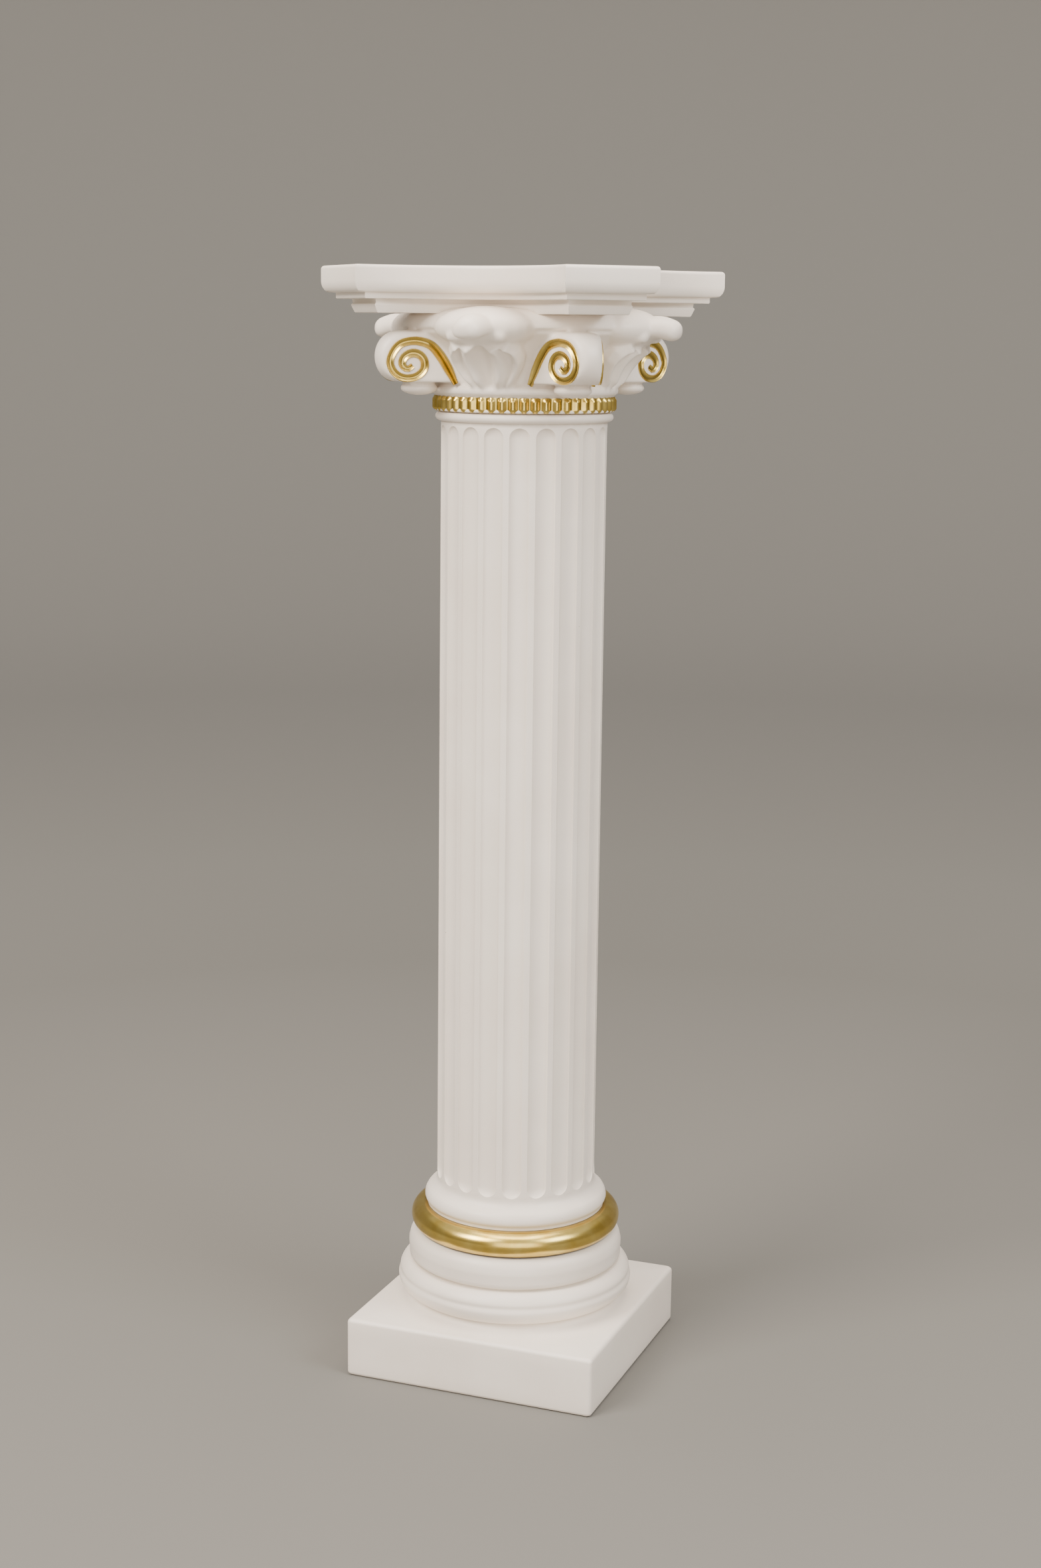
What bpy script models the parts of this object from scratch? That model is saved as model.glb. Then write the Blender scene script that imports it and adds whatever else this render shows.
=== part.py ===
"""Pedestal column in white cast marble with gilded trim.

Square plinth and turned base, fluted shaft, and a capital with four corner volutes,
four curling leaves and a concave-sided abacus. Metres, +Z up. The origin is the
middle of the plinth's underside, and the plinth's sides face along X and Y.
"""
import bpy
import bmesh
from math import atan2, cos, hypot, pi, radians, sin, sqrt, tan
from mathutils import Matrix, Vector

# Joints and joins
JOINT = 0.0003            # open joint between two stacked castings
BITE = 0.004              # how far one form runs into the next inside a casting
TURN_STEPS = 40           # sides of the turned forms
CUTTER_LIFT = 0.0004      # how far a cutter's widest line stands off the face that it cuts

# Base
PLINTH_SIDE = 0.200
PLINTH_HEIGHT = 0.046
PLINTH_EDGE = 0.0030
FOOT_COVE_RADIUS = 0.0970 # where the cove under the lower torus would run out on the plinth
FOOT_COVE_HEIGHT = 0.0080
FOOT_COVE_SINK = 0.0004   # how far the cove's end would dip into the plinth
LOWER_TORUS_RADIUS = 0.0915
LOWER_TORUS_HEIGHT = 0.0250
LOWER_TORUS_BULGE = 0.0110  # height of its widest line above the cove
LOWER_TORUS_SWELL = 0.0110
TORUS_TURN_IN = -72       # degrees below level at which the lower torus meets the cove
GROOVE_HEIGHT = 0.0018
GROOVE_DEPTH = 0.0030
RING_RADIUS = 0.083
RING_HEIGHT = 0.0230
RING_ROUND = 0.0078
RING_ROUND_HEIGHT = 0.0105
GILT_TORUS_RADIUS = 0.0812
GILT_TORUS_HEIGHT = 0.0192

# Shaft
SHAFT_RADIUS = 0.0617
SHAFT_LENGTH = 0.5865
COLLAR_RADIUS = 0.071
COLLAR_HEIGHT = 0.0202
COLLAR_ROUND = 0.0095
COLLAR_BULGE = 0.0060     # height of the collar's widest line above its foot
ASTRAGAL_RADIUS = 0.066
ASTRAGAL_HEIGHT = 0.0070
FLUTE_COUNT = 20
FLUTE_WIDTH = 0.0150
FLUTE_DEPTH = 0.0034
FLUTE_LOWER_GAP = 0.0025
FLUTE_UPPER_GAP = 0.0030

# Capital, from its foot upward
BAND_RADIUS = 0.0683
BAND_HEIGHT = 0.0122
TONGUE_COUNT = 52
TONGUE_DEPTH = 0.0020
NECK_RING_RADIUS = 0.0695
NECK_RING_HEIGHT = 0.0070
BELL_FOOT_RADIUS = 0.0655
BELL_LIP_RADIUS = 0.0885
BELL_HEIGHT = 0.0380
BELL_CONE = 0.25          # share of the bell's spread that rises evenly; the rest flares
BELL_FLARE = 2.4          # how late the flare comes
BELL_LEVELS = (0.96, 0.8, 0.6, 0.4, 0.2, 0)
LIP_HEIGHT = 0.0024
LIP_GROOVE = 0.0022
CUSHION_RADIUS = 0.0905
CUSHION_TOP_RADIUS = 0.0690
CUSHION_HEIGHT = 0.0150
ABACUS_SEAT = 0.0700      # height of the abacus's underside above the capital's foot
ABACUS_REACH = 0.1460     # from the axis to a cut corner
CORNER_WIDTH = 0.0718
SIDE_MIDDLE = 0.0878      # from the axis to the middle of a hollow side
CORNER_NARROWING = 1.2    # how fast the cut corners narrow as the plan steps in
SLAB_HEIGHT = 0.0190
SLAB_TOP_ROUND = 0.0025
SLAB_UNDERCUT = 0.0060
SLAB_UNDERCUT_HEIGHT = 0.0080
FILLET_INSET = 0.0093
FILLET_HEIGHT = 0.0042
COVE_HEIGHT = 0.0034
STEP_INSET = 0.0188
STEP_LEAN = 0.0022
STEP_HEIGHT = 0.0064

# Corner volutes
VOLUTE_REACH = 0.1170     # from the axis to the crown of the scroll's rim
VOLUTE_RADIUS = 0.0182
VOLUTE_CENTRE = 0.0397    # height of the scroll's middle above the capital's foot
FACE_RADIUS = 0.0168      # the scroll's flat sides are smaller than its rounded rim
FACE_INWARD = 0.0018
FACE_DROP = 0.0017
VOLUTE_RIM = 0.0174       # width between the two flat sides at their outer end
VOLUTE_SPLAY = radians(19)
VOLUTE_ROOT = 0.75        # inner end of a volute inside the bell, as a share of the bell's foot
# Sections across a volute: share of its half width, and share of the way from rim to flat side
RIM_SECTIONS = [(-1, 1.0), (-0.62, 0.22), (0, 0.0), (0.62, 0.22), (1, 1.0)]
STROKE_WIDTH = 0.0040
STROKE_DEPTH = 0.0018
STROKE_STEPS = 22
STROKE_END = 0.55         # width of the stroke's two ends, as a share of its own width
# The gilded stroke's stalk: share of the way from the bell to the scroll, and height above
# the scroll's middle as a share of the scroll's radius
STALK = [(0.0, -1.07), (0.27, -0.55), (0.60, -0.01), (1.0, 0.42)]
STALK_END = 0.91          # where the stalk meets the scroll, inward of the scroll's middle
# The scroll from there over the top and round to the eye, as shares of its radius,
# inward and upward from its middle
SCROLL = [(0.48, 0.62), (0.10, 0.64), (-0.26, 0.51), (-0.52, 0.16), (-0.62, -0.28), (-0.44, -0.66),
          (-0.09, -0.85), (0.33, -0.80), (0.64, -0.56), (0.70, -0.20), (0.52, 0.10), (0.24, 0.19),
          (-0.04, 0.03), (-0.12, -0.26), (0.07, -0.43)]

# Leaves, one in the middle of each face
LEAF_FOOT_WIDTH = 0.026
LEAF_SHOULDER_WIDTH = 0.052
LEAF_THICKNESS = 0.0060
LEAF_BELL_STEPS = 3
LEAF_SPRING = 0.0280      # height on the bell at which the leaf leaves it
LEAF_CREST = 0.0690       # height of the curl's top above the capital's foot
LEAF_REACH = 0.1205       # from the axis to the front of the curled tip
# The leaf's curl from where it leaves the bell: share of the way out, share of the rise,
# width as a share of the shoulder's width, and share of the relief across it
LEAF_CURL = [(0.30, 0.60, 0.86, 0.8), (0.62, 0.94, 0.69, 0.5), (1.0, 0.86, 0.31, 0.2)]
TIP_DEPTH = 0.0160        # the curled tip from its top to its lower end
TIP_WIDTH = 0.0230
SIDE_TIP_OUT = 0.0130     # from the leaf's middle to each of its two lesser tips
SIDE_TIP_BACK = 0.0150    # how far those stand behind the front of the middle one
SIDE_TIP_SIZE = 0.0130
SIDE_TIP_LENGTH = 0.0208
SIDE_TIP_CREST = 0.0640
# The leaf's cross-section: share of its half width, and height of its ridges and valleys off the bell
LEAF_RIDGES = [(-1.0, 0.0040), (-0.86, 0.0088), (-0.69, 0.0068), (-0.46, 0.0084), (0.0, 0.0026),
               (0.46, 0.0084), (0.69, 0.0068), (0.86, 0.0088), (1.0, 0.0040)]
LOBE_REACH = 0.0960       # small lobe under each volute
LOBE_WIDTH = 0.026
LOBE_HEIGHT = 0.0105

MARBLE = (0.83, 0.81, 0.77, 1.0)


def arc(centre_r, centre_z, semi_r, semi_z, start, end, steps):
    """Points (r, z) along part of an ellipse, angles in degrees from +r toward +z."""
    out = []
    for i in range(steps + 1):
        a = radians(start + (end - start) * i / steps)
        out.append((centre_r + semi_r * cos(a), centre_z + semi_z * sin(a)))
    return out


def smooth_path(points, per_span):
    """A Catmull-Rom curve through the points."""
    pts = [Vector(p) for p in points]
    pts = [2 * pts[0] - pts[1]] + pts + [2 * pts[-1] - pts[-2]]
    out = []
    for a, b, c, d in zip(pts, pts[1:], pts[2:], pts[3:]):
        for k in range(per_span):
            t = k / per_span
            bend = (2 * a - 5 * b + 4 * c - d) * t * t + (3 * b - a - 3 * c + d) * t ** 3
            out.append(0.5 * (2 * b + (c - a) * t + bend))
    return out + [pts[-2]]


def even_path(points, steps):
    """Points at even distances along the smooth curve through the given ones."""
    fine = smooth_path(points, 12)
    length = [0.0]
    for a, b in zip(fine, fine[1:]):
        length.append(length[-1] + (b - a).length)
    out = []
    k = 0
    for i in range(steps + 1):
        goal = length[-1] * i / steps
        while k < len(fine) - 2 and length[k + 1] < goal:
            k += 1
        out.append(fine[k].lerp(fine[k + 1], (goal - length[k]) / (length[k + 1] - length[k])))
    return out


def add_object(name, mesh, group, parent=None):
    obj = bpy.data.objects.new(name, mesh)
    group.objects.link(obj)
    obj.parent = parent
    return obj


def mesh_of(bm, name):
    bmesh.ops.recalc_face_normals(bm, faces=bm.faces)
    mesh = bpy.data.meshes.new(name)
    bm.to_mesh(mesh)
    bm.free()
    mesh.shade_smooth()
    mesh.set_sharp_from_angle(angle=radians(35))
    return mesh


def turned(name, profile, steps, group, parent=None):
    """A closed solid of revolution from a profile that runs top to bottom on the +X side."""
    mesh = bpy.data.meshes.new(name)
    edges = [(i, i + 1) for i in range(len(profile) - 1)]
    mesh.from_pydata([(r, 0, z) for r, z in profile], edges, [])
    obj = add_object(name, mesh, group, parent)
    screw = obj.modifiers.new("turn", "SCREW")
    screw.axis = "Z"
    screw.angle = 2 * pi
    screw.steps = steps
    screw.render_steps = steps
    screw.use_merge_vertices = True
    screw.merge_threshold = 0.00001
    screw.use_smooth_shade = True
    return obj


def loft(bm, loops):
    """Skins closed loops of equal length, first to last, and caps both ends."""
    rings = [[bm.verts.new(p) for p in loop] for loop in loops]
    count = len(rings[0])
    for low, high in zip(rings, rings[1:]):
        for i in range(count):
            j = (i + 1) % count
            bm.faces.new((low[i], low[j], high[j], high[i]))
    bm.faces.new(rings[0][::-1])
    bm.faces.new(rings[-1])


def turn_about_axis(share):
    """A rotation by that share of a full turn."""
    return Matrix.Rotation(2 * pi * share, 3, "Z")


def join(target, operand, how):
    mod = target.modifiers.new(how.lower() + " " + operand.name, "BOOLEAN")
    mod.operation = how
    mod.solver = "EXACT"
    mod.object = operand


def helper(obj):
    """A form that is joined to or cut from a casting, hidden by itself."""
    obj.hide_render = True
    obj.display_type = "WIRE"
    return obj


def finish(obj, material):
    if obj.data.materials:
        obj.data.materials[0] = material
    else:
        obj.data.materials.append(material)


def make_material(name, colour, roughness, metallic):
    material = bpy.data.materials.new(name)
    material.use_nodes = True
    shader = material.node_tree.nodes["Principled BSDF"]
    shader.inputs["Base Color"].default_value = colour
    shader.inputs["Roughness"].default_value = roughness
    shader.inputs["Metallic"].default_value = metallic
    return material


def build_base(parts, helpers):
    bm = bmesh.new()
    bmesh.ops.create_cube(bm, size=1.0)
    bmesh.ops.scale(bm, vec=(PLINTH_SIDE, PLINTH_SIDE, PLINTH_HEIGHT), verts=bm.verts)
    bmesh.ops.translate(bm, vec=(0, 0, PLINTH_HEIGHT / 2), verts=bm.verts)
    plinth = add_object("base", mesh_of(bm, "base"), parts)
    bevel = plinth.modifiers.new("soft edges", "BEVEL")
    bevel.width = PLINTH_EDGE
    bevel.segments = 2

    torus_foot = PLINTH_HEIGHT + FOOT_COVE_HEIGHT
    torus_top = torus_foot + LOWER_TORUS_HEIGHT
    ring_foot = torus_top + GROOVE_HEIGHT
    ring_top = ring_foot + RING_HEIGHT
    top = ring_top + GILT_TORUS_HEIGHT
    half = GILT_TORUS_HEIGHT / 2
    profile = [(0, top)]
    profile += arc(GILT_TORUS_RADIUS - half, top - half, half, half, 90, -84, 6)
    ring_round_foot = ring_top - RING_ROUND_HEIGHT
    profile += arc(RING_RADIUS - RING_ROUND, ring_round_foot, RING_ROUND, RING_ROUND_HEIGHT, 90, 0, 3)
    profile += [(RING_RADIUS, ring_foot + GROOVE_HEIGHT), (RING_RADIUS - GROOVE_DEPTH, ring_foot)]
    centre = LOWER_TORUS_RADIUS - LOWER_TORUS_SWELL
    widest = torus_foot + LOWER_TORUS_BULGE
    profile += arc(centre, widest, LOWER_TORUS_SWELL, torus_top - widest, 90, 0, 4)
    profile += arc(centre, widest, LOWER_TORUS_SWELL, LOWER_TORUS_BULGE, -24, TORUS_TURN_IN, 2)
    neck_r, neck_z = profile[-1]
    cove_depth = neck_z - PLINTH_HEIGHT + FOOT_COVE_SINK
    profile += arc(FOOT_COVE_RADIUS, neck_z, FOOT_COVE_RADIUS - neck_r, cove_depth, 206, 258, 2)
    profile += [(profile[-1][0], PLINTH_HEIGHT - BITE), (0, PLINTH_HEIGHT - BITE)]
    mouldings = helper(turned("base_mouldings", profile, TURN_STEPS, helpers, plinth))
    join(plinth, mouldings, "UNION")
    return plinth, top


def build_shaft(parts, helpers, foot):
    top = COLLAR_HEIGHT + SHAFT_LENGTH + ASTRAGAL_HEIGHT
    corner = COLLAR_RADIUS - COLLAR_ROUND
    bead = ASTRAGAL_HEIGHT / 2
    bead_swell = ASTRAGAL_RADIUS - SHAFT_RADIUS
    profile = [(0, top)]
    profile += arc(SHAFT_RADIUS, top - bead, bead_swell, bead, 90, -90, 4)
    profile += [(SHAFT_RADIUS, COLLAR_HEIGHT)]
    profile += arc(corner, COLLAR_BULGE, COLLAR_ROUND, COLLAR_ROUND, 42, 0, 2)
    profile += arc(corner, COLLAR_BULGE, COLLAR_ROUND, COLLAR_BULGE, -35, -70, 1)
    profile += [(profile[-1][0], 0), (0, 0)]
    shaft = turned("shaft", profile, 2 * FLUTE_COUNT, parts)
    shaft.location.z = foot

    low = COLLAR_HEIGHT + FLUTE_LOWER_GAP
    high = COLLAR_HEIGHT + SHAFT_LENGTH - FLUTE_UPPER_GAP
    half = FLUTE_WIDTH / 2
    bm = bmesh.new()
    for i in range(FLUTE_COUNT):
        ball = bmesh.ops.create_uvsphere(bm, u_segments=8, v_segments=7, radius=1.0)["verts"]
        widest = max(hypot(v.co.x, v.co.y) for v in ball)
        deep = FLUTE_DEPTH + CUTTER_LIFT
        bmesh.ops.scale(bm, vec=(deep / widest, half / widest, half), verts=ball)
        for v in ball:
            v.co.z += high - half if v.co.z > 0 else low + half
            v.co.x += SHAFT_RADIUS + CUTTER_LIFT
        bmesh.ops.rotate(bm, cent=(0, 0, 0), matrix=turn_about_axis(i / FLUTE_COUNT), verts=ball)
    flutes = helper(add_object("flutes", mesh_of(bm, "flutes"), helpers, shaft))
    join(shaft, flutes, "DIFFERENCE")
    return shaft, foot + top


def abacus_plan(inset, height, steps):
    """The abacus's outline at one level: four hollow sides between cut corners."""
    reach = ABACUS_REACH - inset
    corner = (CORNER_WIDTH - CORNER_NARROWING * inset) / 2
    middle = SIDE_MIDDLE - inset
    end_x = (reach + corner) / sqrt(2)
    end_y = (reach - corner) / sqrt(2)
    sagitta = end_x - middle
    radius = (end_y ** 2 + sagitta ** 2) / (2 * sagitta)
    sweep = atan2(end_y, radius - sagitta)
    loop = []
    for side in range(4):
        turn = turn_about_axis(side / 4)
        for i in range(steps + 1):
            a = sweep * (2 * i / steps - 1)
            loop.append(turn @ Vector((middle + radius - radius * cos(a), radius * sin(a), height)))
    return loop


def build_abacus(helpers, parent):
    levels = [(STEP_INSET + STEP_LEAN, ABACUS_SEAT), (STEP_INSET, ABACUS_SEAT + STEP_HEIGHT)]
    fillet_foot = ABACUS_SEAT + STEP_HEIGHT + COVE_HEIGHT
    slab_foot = fillet_foot + FILLET_HEIGHT
    slab_top = slab_foot + SLAB_HEIGHT
    levels += [(STEP_INSET, fillet_foot), (FILLET_INSET, fillet_foot), (FILLET_INSET, slab_foot)]
    levels += [(SLAB_UNDERCUT, slab_foot)]
    for r, z in arc(0, slab_foot + SLAB_UNDERCUT_HEIGHT, SLAB_UNDERCUT, SLAB_UNDERCUT_HEIGHT, -70, 0, 2):
        levels.append((SLAB_UNDERCUT - r, z))
    for r, z in arc(0, slab_top - SLAB_TOP_ROUND, SLAB_TOP_ROUND, SLAB_TOP_ROUND, 0, 90, 2):
        levels.append((SLAB_TOP_ROUND - r, z))
    bm = bmesh.new()
    loft(bm, [abacus_plan(inset, height, 5) for inset, height in levels])
    return helper(add_object("abacus", mesh_of(bm, "abacus"), helpers, parent)), slab_top


def scroll_half_width(r):
    """Half the volute's width at a distance from the axis: its sides spread toward the bell."""
    outer = VOLUTE_REACH - VOLUTE_RADIUS - FACE_INWARD + FACE_RADIUS
    return VOLUTE_RIM / 2 + (outer - r) * tan(VOLUTE_SPLAY)


def build_volutes(helpers, parent):
    middle = VOLUTE_REACH - VOLUTE_RADIUS
    inner = BELL_FOOT_RADIUS * VOLUTE_ROOT
    sections = []
    for side, share in RIM_SECTIONS:
        radius = VOLUTE_RADIUS + (FACE_RADIUS - VOLUTE_RADIUS) * share
        centre_r = middle - FACE_INWARD * share
        centre_z = VOLUTE_CENTRE - FACE_DROP * share
        outline = arc(centre_r, centre_z, radius, radius, -90, 90, 8)
        outline += [(inner, centre_z + radius), (inner, centre_z - radius)]
        sections.append([Vector((r, side * scroll_half_width(r), z)) for r, z in outline])
    bm = bmesh.new()
    for corner in range(4):
        turn = turn_about_axis(corner / 4 + 1 / 8)
        loft(bm, [[turn @ p for p in section] for section in sections])
    return helper(add_object("volutes", mesh_of(bm, "volutes"), helpers, parent))


def stroke_line():
    """The middle of the gilded stroke as (distance from the axis, height), from the bell to the eye."""
    middle = VOLUTE_REACH - VOLUTE_RADIUS
    scroll_edge = middle - STALK_END * VOLUTE_RADIUS
    line = []
    for share, up in STALK:
        r = BELL_FOOT_RADIUS + (scroll_edge - BELL_FOOT_RADIUS) * share
        line.append((r, VOLUTE_CENTRE + up * VOLUTE_RADIUS, 0))
    for inward, up in SCROLL:
        line.append((middle - inward * VOLUTE_RADIUS, VOLUTE_CENTRE + up * VOLUTE_RADIUS, 0))
    return even_path(line, STROKE_STEPS)


def build_strokes(helpers, parent):
    """Grooves that follow the gilded stroke on both sides of every volute."""
    line = stroke_line()
    bm = bmesh.new()
    for corner in range(4):
        turn = turn_about_axis(corner / 4 + 1 / 8)
        for side in (-1, 1):
            out = Vector((sin(VOLUTE_SPLAY), side * cos(VOLUTE_SPLAY), 0))
            points = [Vector((p.x, side * scroll_half_width(p.x), p.y)) for p in line]
            loops = []
            for i, p in enumerate(points):
                along = (points[min(i + 1, len(points) - 1)] - points[max(i - 1, 0)]).normalized()
                share = STROKE_END if i in (0, len(points) - 1) else 1.0
                across = along.cross(out).normalized() * STROKE_WIDTH / 2 * share
                edge = p + out * CUTTER_LIFT
                top = edge + out * STROKE_DEPTH
                bottom = p - out * STROKE_DEPTH * share
                corners = (edge + across, top, edge - across, bottom)
                loops.append([turn @ q for q in corners])
            loft(bm, loops)
    return helper(add_object("strokes", mesh_of(bm, "strokes"), helpers, parent))


def bell_radius(z):
    """Radius of the bell's flare at a height above the capital's foot."""
    t = min(max((z - BAND_HEIGHT - NECK_RING_HEIGHT) / BELL_HEIGHT, 0), 1)
    spread = BELL_CONE * t + (1 - BELL_CONE) * t ** BELL_FLARE
    return BELL_FOOT_RADIUS + (BELL_LIP_RADIUS - BELL_FOOT_RADIUS) * spread


def leaf_rows():
    """The leaf's middle line, foot to tip, as (distance from the axis, height, width, ridge share)."""
    foot = BAND_HEIGHT + NECK_RING_HEIGHT / 2
    spring = BAND_HEIGHT + NECK_RING_HEIGHT + LEAF_SPRING
    rows = []
    for i in range(LEAF_BELL_STEPS + 1):
        share = i / LEAF_BELL_STEPS
        z = foot + (spring - foot) * share
        width = LEAF_FOOT_WIDTH + (LEAF_SHOULDER_WIDTH - LEAF_FOOT_WIDTH) * sqrt(share)
        rows.append((bell_radius(z), z, width, 1.0))
    start = rows[-1][0]
    run = LEAF_REACH - TIP_DEPTH / 2 - start
    rise = LEAF_CREST - LEAF_THICKNESS - spring
    for out, up, width, ridge in LEAF_CURL:
        rows.append((start + run * out, spring + rise * up, LEAF_SHOULDER_WIDTH * width, ridge))
    return rows


def add_ball(bm, turn, centre, semi_axes):
    ball = bmesh.ops.create_uvsphere(bm, u_segments=8, v_segments=5, radius=1.0)["verts"]
    bmesh.ops.scale(bm, vec=semi_axes, verts=ball)
    bmesh.ops.translate(bm, vec=centre, verts=ball)
    bmesh.ops.rotate(bm, cent=(0, 0, 0), matrix=turn, verts=ball)


def build_leaves(helpers, parent):
    """The blades of the four leaves: they lie on the bell, then curl out under the abacus."""
    rows = leaf_rows()
    last = len(rows) - 1
    loops = []
    for i, (r, z, width, ridge) in enumerate(rows):
        before = Vector(rows[max(i - 1, 0)][:2])
        after = Vector(rows[min(i + 1, last)][:2])
        along = (after - before).normalized()
        behind = Vector((-along.y, along.x))
        depth = LEAF_THICKNESS * (2 if r < BELL_LIP_RADIUS else 1)
        front = []
        back = []
        for u, relief in LEAF_RIDGES:
            y = u * width / 2
            fall = r * (1 - cos(y / r))
            face = Vector((r - fall, z)) - behind * relief * ridge
            front.append((face.x, y, face.y))
            rear = Vector((r - fall, z)) + behind * depth
            back.append((rear.x, y, rear.y))
        loops.append(front + [back[-1], back[len(back) // 2], back[0]])
    bm = bmesh.new()
    for face in range(4):
        loft(bm, [[turn_about_axis(face / 4) @ Vector(p) for p in loop] for loop in loops])
    return helper(add_object("leaves", mesh_of(bm, "leaves"), helpers, parent))


def build_leaf_tips(helpers, parent):
    """The curled ends of the four leaves, one drooping in the middle and a lesser one on each side."""
    tip = (LEAF_REACH - TIP_DEPTH / 2, 0, LEAF_CREST - TIP_DEPTH / 2)
    side_r = LEAF_REACH - SIDE_TIP_BACK - SIDE_TIP_SIZE / 2
    bm = bmesh.new()
    for face in range(4):
        turn = turn_about_axis(face / 4)
        add_ball(bm, turn, tip, (TIP_DEPTH / 2, TIP_WIDTH / 2, TIP_DEPTH / 2))
        for side in (-1, 1):
            centre = (side_r, side * SIDE_TIP_OUT, SIDE_TIP_CREST - SIDE_TIP_SIZE / 2)
            add_ball(bm, turn, centre, (SIDE_TIP_LENGTH / 2, SIDE_TIP_SIZE / 2, SIDE_TIP_SIZE / 2))
    return helper(add_object("leaf_tips", mesh_of(bm, "leaf_tips"), helpers, parent))


def build_lobes(helpers, parent):
    """A small blunt leaf tip under each volute."""
    middle = (LOBE_REACH + BELL_FOOT_RADIUS) / 2
    bm = bmesh.new()
    for corner in range(4):
        centre = (middle, 0, BAND_HEIGHT + LOBE_HEIGHT / 2)
        semi_axes = (LOBE_REACH - middle, LOBE_WIDTH / 2, LOBE_HEIGHT / 2)
        add_ball(bm, turn_about_axis(corner / 4 + 1 / 8), centre, semi_axes)
    return helper(add_object("lobes", mesh_of(bm, "lobes"), helpers, parent))


def build_band(helpers, parent):
    """The ring of small upright tongues at the capital's foot, let into the neck ring above."""
    steps = 2 * TONGUE_COUNT
    loops = []
    for z in (0, BAND_HEIGHT + BITE / 4):
        loop = []
        for i in range(steps):
            r = BAND_RADIUS - (TONGUE_DEPTH if i % 2 else 0)
            a = 2 * pi * i / steps
            loop.append((r * cos(a), r * sin(a), z))
        loops.append(loop)
    bm = bmesh.new()
    loft(bm, loops)
    return helper(add_object("band", mesh_of(bm, "band"), helpers, parent))


def capital_profile():
    """The turned body of the capital, top to bottom: cushion, lip, bell and neck ring."""
    bell_foot = BAND_HEIGHT + NECK_RING_HEIGHT
    lip = bell_foot + BELL_HEIGHT
    cushion_foot = lip + LIP_HEIGHT
    cushion_swell = CUSHION_RADIUS - CUSHION_TOP_RADIUS
    ring_half = NECK_RING_HEIGHT / 2
    core = BAND_RADIUS - TONGUE_DEPTH - BITE
    profile = [(0, ABACUS_SEAT + BITE), (CUSHION_TOP_RADIUS, cushion_foot + CUSHION_HEIGHT)]
    profile += arc(CUSHION_TOP_RADIUS, cushion_foot, cushion_swell, CUSHION_HEIGHT, 80, 0, 5)
    profile += [(BELL_LIP_RADIUS - LIP_GROOVE, cushion_foot), (BELL_LIP_RADIUS, lip)]
    for share in BELL_LEVELS:
        z = bell_foot + BELL_HEIGHT * share
        profile.append((bell_radius(z), z))
    profile += arc(NECK_RING_RADIUS - ring_half, BAND_HEIGHT + ring_half, ring_half, ring_half, 90, -90, 4)
    profile += [(core, BAND_HEIGHT), (core, BITE), (0, BITE)]
    return profile


def build_capital(parts, helpers, foot):
    capital = turned("capital", capital_profile(), TURN_STEPS, parts)
    capital.location.z = foot
    abacus, height = build_abacus(helpers, capital)
    join(capital, abacus, "UNION")
    for build in (build_band, build_volutes, build_leaves, build_leaf_tips, build_lobes):
        join(capital, build(helpers, capital), "UNION")
    join(capital, build_strokes(helpers, capital), "DIFFERENCE")
    return capital, foot + height


def main():
    for obj in list(bpy.data.objects):
        bpy.data.objects.remove(obj)
    parts = bpy.data.collections.new("pedestal_column")
    helpers = bpy.data.collections.new("joined and cut forms")
    for group in (parts, helpers):
        bpy.context.scene.collection.children.link(group)
    marble = make_material("cast marble", MARBLE, 0.45, 0.0)
    base, base_top = build_base(parts, helpers)
    shaft, shaft_top = build_shaft(parts, helpers, base_top + JOINT)
    capital, top = build_capital(parts, helpers, shaft_top + JOINT)
    stand = bpy.data.objects.new("pedestal_column", None)
    parts.objects.link(stand)
    for piece in (base, shaft, capital):
        piece.parent = stand
        finish(piece, marble)


main()
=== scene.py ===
"""Visual model of a white cast-marble pedestal column with gilded trim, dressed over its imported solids.

Metres and degrees, +Z up, the plinth's underside on z = 0 and its sides facing along X and Y.
"""

from math import atan2, cos, exp, hypot, pi, radians, sin, sqrt, tan

import bmesh
import bpy
from mathutils import Matrix, Vector


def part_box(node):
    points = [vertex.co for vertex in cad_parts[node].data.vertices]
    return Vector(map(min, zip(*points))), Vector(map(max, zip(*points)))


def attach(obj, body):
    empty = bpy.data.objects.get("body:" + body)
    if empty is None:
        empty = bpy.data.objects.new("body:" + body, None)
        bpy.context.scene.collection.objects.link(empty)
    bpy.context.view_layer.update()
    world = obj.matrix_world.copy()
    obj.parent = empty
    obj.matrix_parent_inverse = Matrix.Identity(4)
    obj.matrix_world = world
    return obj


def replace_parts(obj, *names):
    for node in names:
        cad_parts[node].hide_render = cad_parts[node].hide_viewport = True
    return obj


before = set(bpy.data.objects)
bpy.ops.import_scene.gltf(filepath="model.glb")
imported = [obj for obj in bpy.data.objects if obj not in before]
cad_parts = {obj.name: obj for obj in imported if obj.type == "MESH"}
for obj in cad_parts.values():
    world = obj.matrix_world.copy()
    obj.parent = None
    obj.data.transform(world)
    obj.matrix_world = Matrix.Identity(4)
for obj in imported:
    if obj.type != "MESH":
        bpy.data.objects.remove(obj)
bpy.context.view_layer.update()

BASE_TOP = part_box("base")[1].z
SHAFT_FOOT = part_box("shaft")[0].z
SHAFT_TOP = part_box("shaft")[1].z
CAPITAL_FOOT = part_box("capital")[0].z

MERGE_DISTANCE = 0.000002
TURNED_SIDES = 160

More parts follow.
